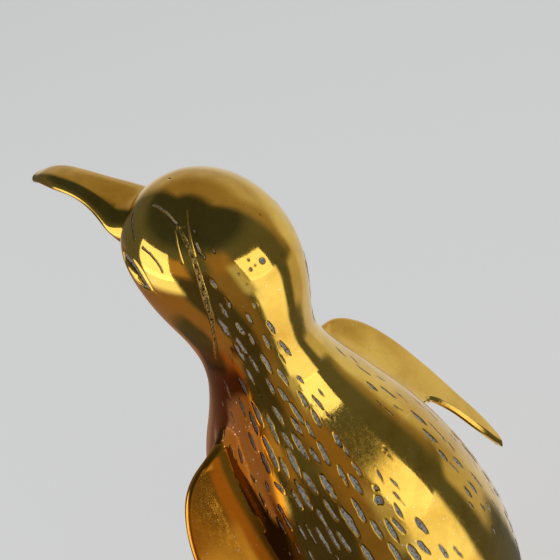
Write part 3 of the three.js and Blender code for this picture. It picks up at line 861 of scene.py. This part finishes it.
def blade_rings(down, straight=44, curved=16):
    """Rings round the left blade, with one facing for each of a ring's points, and the two end points."""
    front = np.interp(down, FRONT_CURVE[:, 0], FRONT_CURVE[:, 1])
    rear = np.interp(down, REAR_CURVE[:, 0], REAR_CURVE[:, 1])
    middle = (front + rear) / 2
    half = (front - rear) / 2
    tip = np.clip((down - BLADE_LENGTH + 2.2) / 2.2, 0, 0.995)
    half = np.minimum(half, 1.6) * np.sqrt(1 - tip ** 2) * (tip > 0) + half * (tip == 0)
    radius = np.minimum(BLADE_THICKNESS / 2, half * 0.98)
    flat = half - radius
    radius = radius * (1 - 0.2 * smooth(85, 109, down))
    thinned = 0.55 * smooth(40, 58, down)
    steps = np.linspace(-1, 1, straight, endpoint=False)
    turn = np.linspace(0, math.pi, curved, endpoint=False)
    back = np.interp(turn / math.pi, BLUNT_SHARE, BLUNT_REACH)[::-1]
    blunt_out = np.interp(turn / math.pi, BLUNT_SHARE, BLUNT_OUT)[::-1]
    rings = []
    for s, m, r, h, thin in zip(down, middle, radius, flat, thinned):
        inner = 1 - thin * smooth(0.2, -1, -steps)
        edge = blunt_out * (1 - thin / 2) + thin / 2
        lead = np.concatenate([m + h * steps, m + h + r * np.sin(turn), m - h * steps, m - h - r * back])
        out = np.concatenate([r + 0 * steps, r * np.cos(turn), -r * inner, r * edge])
        rings.append(blade_point(s + 0 * lead, lead, out + bow_at(s)))
    still = 0 * steps
    facing_lead = np.concatenate([still, np.sin(turn), still, -np.sin(turn)])
    facing_out = np.concatenate([still + 1, np.cos(turn), still - 1, -np.cos(turn)])
    facing = facing_lead[:, None] * BLADE_LEAD + facing_out[:, None] * BLADE_OUT
    ends = [
        blade_point(down[0] - 0.3, middle[0], bow_at(down[0])),
        blade_point(down[-1] + 0.2, middle[-1], bow_at(down[-1])),
    ]
    return np.vstack(rings), facing, ends


def flipper(side):
    """A blade with round edges that flows into the body at its root."""
    down = spread(BLADE_START, BLADE_LENGTH - 0.25, BLADE_ROWS, blade_density)
    points, facing, ends = blade_rings(down)
    normals = np.tile(facing, (BLADE_ROWS, 1))
    near = body_distance(points) < FILLET
    lift = np.zeros(len(points))
    lift[near] = push_out(points[near], normals[near], blade_distance, body_distance)
    points = points + lift[:, None] * normals
    points = points + wave_at(points, side)[:, None] * normals
    joined_normals = fillet_normals(points[near], side)
    points = handed(np.vstack([points, ends]), side)
    faces = loft_faces(BLADE_ROWS, len(facing))
    piece = build_mesh(f"{HAND[side]}_flipper_casting", points, faces, side)
    face_along(piece, np.nonzero(near)[0], handed(joined_normals, side))
    keep_masks(piece, np.minimum(tarnish_and_warm_reflection(points), BLADE_TARNISH_AND_REFLECTION[side]))
    return piece


BILL_PATH = np.array([(0, -20, 246.84), (0, -51.8, 273.45), (0, -BILL_REACH, 265.41)])
BILL_RADII = [(0, 14.11), (0.35, 7.22), (0.7, 5.31), (0.85, 4), (0.93, 3.1), (0.975, 2.3), (1, 0)]
BILL_SQUASH = 0.87
BILL_CUT = 0.28
BILL_ROWS = 230
BILL_COLUMNS = 120
bill_squared = natural_spline([t for t, _ in BILL_RADII], [r * r for _, r in BILL_RADII])


def bill_section(arch):
    """The bill's section at unit size: round at its root, and a low roof over a keel further out."""
    turn = np.linspace(0, 2 * math.pi, 721)
    side = np.cos(turn)
    roof = 0.52 * (1 - np.abs(side) ** 3.5)
    keel = -0.9 * (1 - np.abs(side) ** 1.3)
    arched = np.stack([1.22 * side, np.where(np.sin(turn) >= 0, roof, keel)], -1)
    outline = (1 - arch) * np.stack([BILL_SQUASH * side, np.sin(turn)], -1) + arch * arched
    length = np.concatenate([[0], np.cumsum(np.linalg.norm(np.diff(outline, axis=0), axis=1))])
    even = np.linspace(0, length[-1], BILL_COLUMNS, endpoint=False)
    ring = np.stack([np.interp(even, length, outline[:, axis]) for axis in (0, 1)], -1)
    for _ in range(7):
        ring = (np.roll(ring, 1, axis=0) + 2 * ring + np.roll(ring, -1, axis=0)) / 4
    return ring


def bill():
    """The bill, with a cut line along each side between its upper and lower half."""
    shares = spread(0, 0.9995, BILL_ROWS, lambda t: 1 + 5 * smooth(0.93, 1, t))
    a, b, c = BILL_PATH
    sideways = np.array((1, 0, 0))
    rings = []
    marks_in = []
    for t in shares:
        centre = (1 - t) ** 2 * a + 2 * t * (1 - t) * b + t * t * c
        along = unit(2 * (1 - t) * (b - a) + 2 * t * (c - b))
        up = np.cross(sideways, along)
        up = up * np.sign(up[2])
        radius = math.sqrt(max(float(bill_squared(t)), 1e-4))
        arch = smooth(0.02, 0.22, t) * (1 - 0.5 * smooth(0.88, 1, t))
        across, high = bill_section(float(arch)).T
        high = high + 0.3 * float(smooth(0.6, 0.95, t))
        level = np.degrees(np.arctan2(high, np.abs(across)))
        inside = 0.55 - np.abs(level + 20) * math.pi / 180 * radius
        groove = BILL_CUT * smooth(-0.4, 0.5, inside) * smooth(0.22, 0.3, t) * smooth(0.97, 0.9, t)
        size = radius - groove * min(1, radius / 3)
        rings.append(centre + size[:, None] * (across[:, None] * sideways + high[:, None] * up))
        begun = float(smooth(0.2, 0.3, t))
        marks_in.append(np.clip(inside, -1, 1) * begun - (1 - begun))
    points = np.vstack(rings)
    normals = unit(points - np.repeat([ring.mean(0) for ring in rings], BILL_COLUMNS, axis=0))
    fade = smooth(1, 0.85, np.repeat(shares, BILL_COLUMNS))
    points = points + (0.8 * waviness(points) * fade)[:, None] * normals
    points = np.vstack([points, a, c])
    piece = build_mesh("bill_casting", points, loft_faces(BILL_ROWS, BILL_COLUMNS))
    mark = np.append(np.concatenate(marks_in), [-1, -1])
    keep_masks(piece, tarnish_and_warm_reflection(points), np.minimum(mark, 0.12))
    return piece


def refined(node, voxel=0.5, rounds=4):
    """A fine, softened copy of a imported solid, with its points and normals in millimetres."""
    piece = new_object(node + "_casting", bpy.data.objects[node].data.copy())
    remesh = piece.modifiers.new("remesh", "REMESH")
    remesh.mode = "VOXEL"
    remesh.voxel_size = voxel * MM
    soften = piece.modifiers.new("soften", "SMOOTH")
    soften.iterations = rounds
    soften.factor = 0.5
    bpy.context.view_layer.update()
    depsgraph = bpy.context.evaluated_depsgraph_get()
    mesh = bpy.data.meshes.new_from_object(piece.evaluated_get(depsgraph))
    piece.modifiers.clear()
    piece.data = mesh
    mesh.materials.clear()
    mesh.shade_smooth()
    points = values_of(mesh.vertices, "co", 3)
    return piece, points / MM - SHIFT, values_of(mesh.vertex_normals, "vector", 3)


def reshape(piece, points, mark):
    piece.data.vertices.foreach_set("co", ((points + SHIFT) * MM).ravel())
    piece.data.update()
    keep_masks(piece, tarnish_and_warm_reflection(points), mark)


FOOT_PLACE = np.array((19, -2, 0))
# Where each toe points, in degrees outwards, and its length
TOES = [(-11, 38), (10, 42), (31, 38)]
TOE_CREASES = (14, 20, 25.5, 30.5)
CREASE_DEPTH = 0.35
CLAW_RISE = 0.45


def foot(side):
    """A webbed foot with creased toes and blunt claws."""
    piece, points, normals = refined(HAND[side] + "_foot")
    local = handed(points, side) - FOOT_PLACE
    lift = np.zeros(len(points))
    mark = np.full(len(points), -1.0)
    top = smooth(0.1, 0.6, normals[:, 2])
    for turn, length in TOES:
        a = math.radians(turn)
        run = local[:, 0] * math.sin(a) - local[:, 1] * math.cos(a)
        across = np.abs(local[:, 0] * math.cos(a) + local[:, 1] * math.sin(a))
        on_toe = smooth(5.2, 3.6, across) * top * smooth(8, 11, run)
        for crease in TOE_CREASES:
            if crease > length - 8:
                continue
            inside = 0.5 - np.abs(run - crease + 0.06 * across ** 2)
            lift -= CREASE_DEPTH * smooth(-0.5, 0.5, inside) * on_toe
            mark = np.where(on_toe > 0.4, np.maximum(mark, np.clip(inside, -1, 0.1)), mark)
        claw_wide = 1.9 * np.sqrt(np.clip((length + 0.5 - run) / 6.5, 0, 1))
        claw = smooth(-0.5, 0.3, claw_wide - across) * smooth(length - 7, length - 6, run)
        lift += CLAW_RISE * (claw * top)
        rim = 0.4 - np.abs(run - length + 6.7)
        lift -= 0.3 * smooth(-0.4, 0.4, rim) * smooth(3.4, 2.2, across) * top
    grain = np.random.default_rng(SEED + 5 + side).normal(size=len(points))
    lift += 0.015 * grain * top
    lift[local[:, 2] < 0.4] = 0
    reshape(piece, points + lift[:, None] * normals, mark)
    return piece


TAIL_TOP = 31
TAIL_DROP = unit(np.array((0, 26, -31)))
TAIL_LENGTH = 40.5
TAIL_ABOVE = np.array((0, 0.77, 0.64))
# The shafts across the tail's half width, and the distance between them
SHAFTS = (-0.72, -0.36, 0, 0.36, 0.72)
SHAFT_PITCH = 0.36
SHAFT_DEPTH = 0.38
BARB_PITCH = 2.1
BARB_RISE = 0.07


def tail():
    """A short blunt tail cut with feather shafts and slanting barbs."""
    piece, points, normals = refined("tail")
    root = np.array((0, float(set_back(TAIL_TOP) + half_depth(TAIL_TOP)) - 5, TAIL_TOP))
    run = (points - root) @ TAIL_DROP
    half = 15 - 7 * np.clip(run / TAIL_LENGTH, 0, 1)
    u = points[:, 0] / half
    lift = np.zeros(len(points))
    mark = np.full(len(points), -1.0)
    fade = smooth(5, 9, run) * smooth(0.15, 0.5, np.abs(normals @ TAIL_ABOVE))
    for shaft in SHAFTS:
        inside = 0.42 - np.abs(u - shaft) * half
        lift -= SHAFT_DEPTH * smooth(-0.4, 0.42, inside) * fade
        mark = np.where(fade > 0.4, np.maximum(mark, np.clip(inside, -1, 0.3)), mark)
    from_shaft = np.abs((u / SHAFT_PITCH + 0.5) % 1 - 0.5) * SHAFT_PITCH * half
    slant = run + from_shaft * 0.9
    lift += BARB_RISE * np.sin(slant * 2 * math.pi / BARB_PITCH) * fade * smooth(0.5, 1.2, from_shaft)
    lift[points[:, 2] < 0.5] = 0
    reshape(piece, points + lift[:, None] * normals, mark)
    return piece


class Nodes:
    """Short calls for building one tree of nodes."""

    def __init__(self, tree):
        self.tree = tree
        tree.nodes.clear()

    def add(self, kind, inputs=None, **settings):
        """A node with its settings, and with its inputs linked or set."""
        node = self.tree.nodes.new(kind)
        for name, value in settings.items():
            setattr(node, name, value)
        for key, value in (inputs or {}).items():
            if isinstance(value, bpy.types.NodeSocket):
                self.tree.links.new(value, node.inputs[key])
            elif value is not None:
                node.inputs[key].default_value = value
        return node

    def place(self, scale=(1, 1, 1)):
        """Object coordinates, stretched."""
        where = self.add("ShaderNodeTexCoord").outputs["Object"]
        return self.add("ShaderNodeMapping", {"Vector": where, "Scale": scale}).outputs["Vector"]

    def noise(self, vector, scale, detail=3, rough=0.55, distortion=0):
        inputs = {"Vector": vector, "Scale": scale, "Detail": detail, "Roughness": rough}
        inputs["Distortion"] = distortion
        return self.add("ShaderNodeTexNoise", inputs).outputs["Fac"]

    def span(self, value, low, high, out_low=0, out_high=1):
        inputs = {"Value": value, "From Min": low, "From Max": high, "To Min": out_low, "To Max": out_high}
        return self.add("ShaderNodeMapRange", inputs, interpolation_type="SMOOTHSTEP").outputs["Result"]

    def math(self, operation, a, b=None):
        return self.add("ShaderNodeMath", {0: a, 1: b}, operation=operation).outputs[0]

    def times(self, a, b):
        return self.math("MULTIPLY", a, b)

    def plus(self, a, b):
        return self.math("ADD", a, b)

    def mix(self, share, a, b):
        inputs = {"Factor": share, "A": a, "B": b}
        return self.add("ShaderNodeMix", inputs, data_type="RGBA").outputs["Result"]

    def attribute(self, name):
        return self.add("ShaderNodeAttribute", attribute_name=name).outputs["Fac"]

    def bump(self, height, distance, strength=1, normal=None):
        inputs = {"Height": height, "Distance": distance, "Strength": strength, "Normal": normal}
        return self.add("ShaderNodeBump", inputs).outputs["Normal"]


GOLD = (0.88, 0.59, 0.11, 1)
BRONZE = (0.70, 0.42, 0.06, 1)
# Orange and dark amber: tarnishing, and a painted warm reflection that also dims the window's highlight on
# the flanks
ORANGE = (0.92, 0.34, 0.018, 1)
AMBER = (0.17, 0.05, 0.005, 1)
# Dark brown: random stains, and the painted shade round the cuts
STAIN_AND_SHADE = (0.16, 0.085, 0.02, 1)
PATINA = (0.11, 0.12, 0.128, 1)
CHALK = (0.85, 0.87, 0.85, 1)
# Reddish brown that the dirt in the cuts takes where the painted warm reflection lies
RUST_AND_WARM_REFLECTION = (0.13, 0.075, 0.06, 1)
BAND_GOLD = (0.80, 0.56, 0.20, 1)
BAND_DARK = (0.10, 0.07, 0.03, 1)
# Brighter gold painted into the cut lines as a highlight
CUT_HIGHLIGHT_GOLD = (1, 0.60, 0.13, 1)
CAST_LIGHT = (0.66, 0.43, 0.13, 1)
CAST_DARK = (0.33, 0.19, 0.06, 1)


def new_material(name):
    material = bpy.data.materials.new(name)
    material.use_nodes = True
    return material, Nodes(material.node_tree)


def polished_brass():
    """Bright brass with faint wear and stains, painted shade round and in what is cut into it, dull blue-grey
    dirt in the cuts, a painted highlight of brighter gold in the cut lines, and on the flanks a painted warm
    reflection with some tarnishing.
    """
    material, n = new_material("polished_brass")
    where = n.place()
    warm = n.attribute("warm")
    mark = n.attribute("mark")
    clouds = n.span(n.noise(where, 26, 4, 0.6, 0.6), 0.38, 0.68)
    patches = n.span(n.noise(where, 95, 5, 0.65), 0.48, 0.78)
    colour = n.mix(clouds, GOLD, BRONZE)
    # Painted warm reflection, with some tarnishing: orange, then a dark amber that dims what the flanks
    # mirror
    colour = n.mix(n.span(warm, 0, 0.5), colour, ORANGE)
    colour = n.mix(n.span(warm, 0.5, 1), colour, AMBER)
    colour = n.mix(n.times(patches, 0.25), colour, STAIN_AND_SHADE)
    grain = n.noise(where, 1500, 4, 0.7)
    uneven = n.math("SUBTRACT", grain, 0.5)
    # Painted shade: dark brown round the edge of every cut, and over the whole floor of the shallowest ones
    # (the flank's creases, the bill's line and the toes' creases), where some dirt mixes in
    edge_shade = n.span(mark, -0.5, 0.05)
    colour = n.mix(n.times(edge_shade, 0.5), colour, STAIN_AND_SHADE)
    # Painted highlight: the cut lines turn brighter gold
    cut = n.span(n.attribute("line"), -0.05, 0.12)
    colour = n.mix(cut, colour, CUT_HIGHLIGHT_GOLD)
    dirt = n.span(n.plus(mark, n.times(uneven, 0.45)), 0.08, 0.28)
    specks = n.span(n.noise(where, 1100, 5, 0.75), 0.36, 0.54)
    # Dirt in the cuts: blue-grey with chalk specks, turned reddish brown where the painted warm reflection
    # lies
    grime = n.mix(n.times(warm, 0.8), n.mix(specks, PATINA, CHALK), RUST_AND_WARM_REFLECTION)
    colour = n.mix(dirt, colour, grime)
    flecks = n.span(n.noise(where, 1000, 1, 0.5), 0.735, 0.77)
    colour = n.mix(n.times(flecks, 0.6), colour, CHALK)
    worn = n.span(n.plus(n.attribute("band"), n.times(uneven, 0.8)), -0.05, 0.3)
    stipple = n.span(n.noise(where, 1300, 3, 0.6), 0.42, 0.58)
    colour = n.mix(worn, colour, n.mix(stipple, BAND_DARK, BAND_GOLD))
    fine = n.noise(n.place((1, 1, 0.12)), 900, 3, 0.6)
    polish = n.span(n.plus(n.times(clouds, 0.4), fine), 0.4, 1.1, 0.05, 0.17)
    scratches = n.span(n.noise(n.place((1, 0.7, 0.05)), 3200, 2, 0.5, 0.3), 0.62, 0.7)
    crossing = n.span(n.noise(n.place((0.06, 0.8, 1)), 2600, 2, 0.5, 0.3), 0.64, 0.72)
    polish = n.plus(polish, n.times(n.math("MAXIMUM", scratches, crossing), 0.08))
    rough = n.plus(polish, n.times(n.math("MAXIMUM", dirt, n.times(cut, 0.6)), 0.45))
    normal = n.bump(n.noise(where, 420, 4, 0.6), 0.00002, 0.5)
    normal = n.bump(n.noise(where, 1200, 3, 0.6), 0.000006, 1, normal)
    normal = n.bump(n.times(grain, n.math("MAXIMUM", dirt, worn)), 0.0004, 1, normal)
    shader = n.add("ShaderNodeBsdfPrincipled", {
        "Base Color": colour,
        "Metallic": n.span(dirt, 0, 1, 1, 0.1),
        "Roughness": n.plus(rough, n.times(worn, 0.25)),
        "Normal": normal,
    })
    n.add("ShaderNodeOutputMaterial", {"Surface": shader.outputs[0]})
    return material


def cast_brass():
    """The duller brass of the plate underneath."""
    material, n = new_material("cast_brass")
    where = n.place()
    clouds = n.span(n.noise(where, 60, 5, 0.6, 0.4), 0.38, 0.66)
    grain = n.noise(where, 1300, 4, 0.65)
    shader = n.add("ShaderNodeBsdfPrincipled", {
        "Base Color": n.mix(n.span(grain, 0.55, 0.8), n.mix(clouds, CAST_LIGHT, CAST_DARK), STAIN_AND_SHADE),
        "Metallic": 1,
        "Roughness": n.span(n.noise(where, 160, 4), 0.3, 0.7, 0.22, 0.5),
        "Normal": n.bump(grain, 0.0001, 0.8),
    })
    n.add("ShaderNodeOutputMaterial", {"Surface": shader.outputs[0]})
    return material


FIGURE_MIDDLE = (0, 0, 0.16)
WINDOW_DISTANCE = 1.6
WINDOW_RADIANCE = 1.35


def window(name, azimuth, elevation, width, height, colour):
    """A soft rectangular light facing the figure, with its azimuth from +Y towards +X."""
    light = bpy.data.lights.new(name, "AREA")
    light.shape = "RECTANGLE"
    light.size = width
    light.size_y = height
    light.color = colour
    light.energy = WINDOW_RADIANCE * math.pi * width * height
    lamp = new_object(name, light)
    a = math.radians(azimuth)
    e = math.radians(elevation)
    towards = Vector((math.sin(a) * math.cos(e), math.cos(a) * math.cos(e), math.sin(e)))
    lamp.location = Vector(FIGURE_MIDDLE) + towards * WINDOW_DISTANCE
    lamp.rotation_euler = towards.to_track_quat("Z", "Y").to_euler()
    lamp.visible_camera = False


OLIVE = (0.105, 0.11, 0.105, 1)
BACKDROP = (0.61, 0.63, 0.645, 1)
DEGREES = 57.3
# Zones of the room: from and to azimuth, its softness, from and to elevation, its softness, and colour
ZONES = [
    (-200, 200, 1, 36, 95, 9, (0.04, 0.047, 0.055)),
    (42, 68, 6, -60, 10, 6, (0.22, 0.15, 0.09)),
    (30, 62, 7, 6, 30, 7, (0.30, 0.19, 0.10)),
    (66, 108, 5, -95, 8, 6, (0.055, 0.05, 0.045)),
    (88, 112, 4, 0, 20, 4, (0.42, 0.25, 0.11)),
    (108, 200, 6, -95, -4, 3, (0.25, 0.14, 0.085)),
    (-200, -166, 5, -95, -8, 6, (0.30, 0.18, 0.11)),
    (134, 176, 6, -40, -28, 3, (0.07, 0.06, 0.045)),
    (-160, -55, 9, -8, 69, 7, (0.32, 0.25, 0.17)),
    (-160, -76, 9, -95, 34, 12, (0.50, 0.46, 0.46)),
    (-163, -66, 6, -95, 4, 9, (0.68, 0.67, 0.66)),
    (-72, -42, 5, -42, -12, 4, (0.55, 0.50, 0.40)),
    (-20, 32, 3, -95, -5, 1, (1.25, 1.22, 1.15)),
    (26, 42, 5, -16, 14, 4, (0.5, 0.48, 0.44)),
    (105, 143, 3, -13, -3, 3, (1.25, 1.22, 1.15)),
]


def surroundings(n, towards):
    """The room's brightness in a direction from the figure: pale walls, dim corners, light below windows."""
    parts = n.add("ShaderNodeSeparateXYZ", {0: towards})
    azimuth = n.times(n.math("ARCTAN2", parts.outputs["X"], parts.outputs["Y"]), DEGREES)
    elevation = n.times(n.math("ARCSINE", parts.outputs["Z"]), DEGREES)

    def between(value, low, high, soft):
        return n.times(n.span(value, low - soft, low + soft), n.span(value, high + soft, high - soft))

    colour = OLIVE
    for left, right, soft, low, high, blur, shade in ZONES:
        share = n.times(between(azimuth, left, right, soft), between(elevation, low, high, blur))
        colour = n.mix(share, colour, (*shade, 1))
    return colour


def room():
    """A pale background for the camera, and the rest of the room for the metal to mirror."""
    world = bpy.data.worlds.new("room")
    world.use_nodes = True
    bpy.context.scene.world = world
    n = Nodes(world.node_tree)
    colour = surroundings(n, n.add("ShaderNodeTexCoord").outputs["Generated"])
    backdrop = n.mix(n.add("ShaderNodeLightPath").outputs["Is Camera Ray"], colour, BACKDROP)
    background = n.add("ShaderNodeBackground", {"Color": backdrop})
    n.add("ShaderNodeOutputWorld", {"Surface": background.outputs[0]})


FLOOR_HALF = 12
FLOOR_COLOUR = (0.78, 0.79, 0.80, 1)
FLOOR_GLOW_COLOUR = (0.97, 1, 1.03, 1)
FLOOR_GLOW = 0.47


def floor():
    """A pale floor that keeps the figure's shadow, and that the metal mirrors as the room's low part."""
    mesh = bpy.data.meshes.new("floor")
    corners = [(-1, -1), (1, -1), (1, 1), (-1, 1)]
    mesh.from_pydata([(FLOOR_HALF * x, FLOOR_HALF * y, 0) for x, y in corners], [], [(0, 1, 2, 3)])
    ground = new_object("floor", mesh)
    material, n = new_material("floor")
    light_path = n.add("ShaderNodeLightPath")
    diffuse = n.add("ShaderNodeBsdfDiffuse", {"Color": FLOOR_COLOUR})
    strength = n.times(light_path.outputs["Is Camera Ray"], FLOOR_GLOW)
    glow = n.add("ShaderNodeEmission", {"Color": FLOOR_GLOW_COLOUR, "Strength": strength})
    lit = n.add("ShaderNodeAddShader", {0: diffuse.outputs[0], 1: glow.outputs[0]})
    position = n.add("ShaderNodeNewGeometry").outputs["Position"]
    offset = n.add("ShaderNodeVectorMath", {0: position, 1: FIGURE_MIDDLE}, operation="SUBTRACT")
    towards = n.add("ShaderNodeVectorMath", {0: offset.outputs["Vector"]}, operation="NORMALIZE")
    mirrored = n.add("ShaderNodeEmission", {"Color": surroundings(n, towards.outputs["Vector"])})
    glossy = light_path.outputs["Is Glossy Ray"]
    seen = n.add("ShaderNodeMixShader", {0: glossy, 1: lit.outputs[0], 2: mirrored.outputs[0]})
    n.add("ShaderNodeOutputMaterial", {"Surface": seen.outputs[0]})
    mesh.materials.append(material)


def camera():
    lens = bpy.data.cameras.new("camera")
    lens.sensor_width = 36
    lens.lens = 18 / math.tan(FIELD_OF_VIEW / 2)
    lens.clip_start = 0.01
    eye = new_object("camera", lens)
    rows = np.stack([EYE_RIGHT, EYE_UP, -EYE_AHEAD, (EYE_POINT + SHIFT) * MM], axis=1)
    eye.matrix_world = Matrix([*rows.tolist(), (0, 0, 0, 1)])
    bpy.context.scene.camera = eye


bright = polished_brass()
dull = cast_brass()


def dress(piece, node):
    piece.data.materials.append(bright)
    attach(piece, BODY)
    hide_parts(node)


marks = seen_marks(NECK_VIEW, NECK_MARKS, 0.85) + seen_marks(BACK_VIEW, BACK_MARKS, 0.76)
marks += seen_marks(RIGHT_VIEW, RIGHT_MARKS, 1.1) + unseen_marks()
dress(body_half(1, marks), "body_left_half")
dress(body_half(-1, marks), "body_right_half")
dress(flipper(1), "left_flipper")
dress(flipper(-1), "right_flipper")
dress(bill(), "bill")
dress(foot(1), "left_foot")
dress(foot(-1), "right_foot")
dress(tail(), "tail")
for material_slot in bpy.data.objects["base_plate"].material_slots:
    material_slot.material = dull

camera()
floor()
room()
window("side_window", 125, 12, 1.14, 0.96, (1, 0.98, 0.95))
window("back_window", 5, 8, 1.2, 0.76, (1, 0.98, 0.94))
bpy.context.scene.view_settings.view_transform = "Standard"
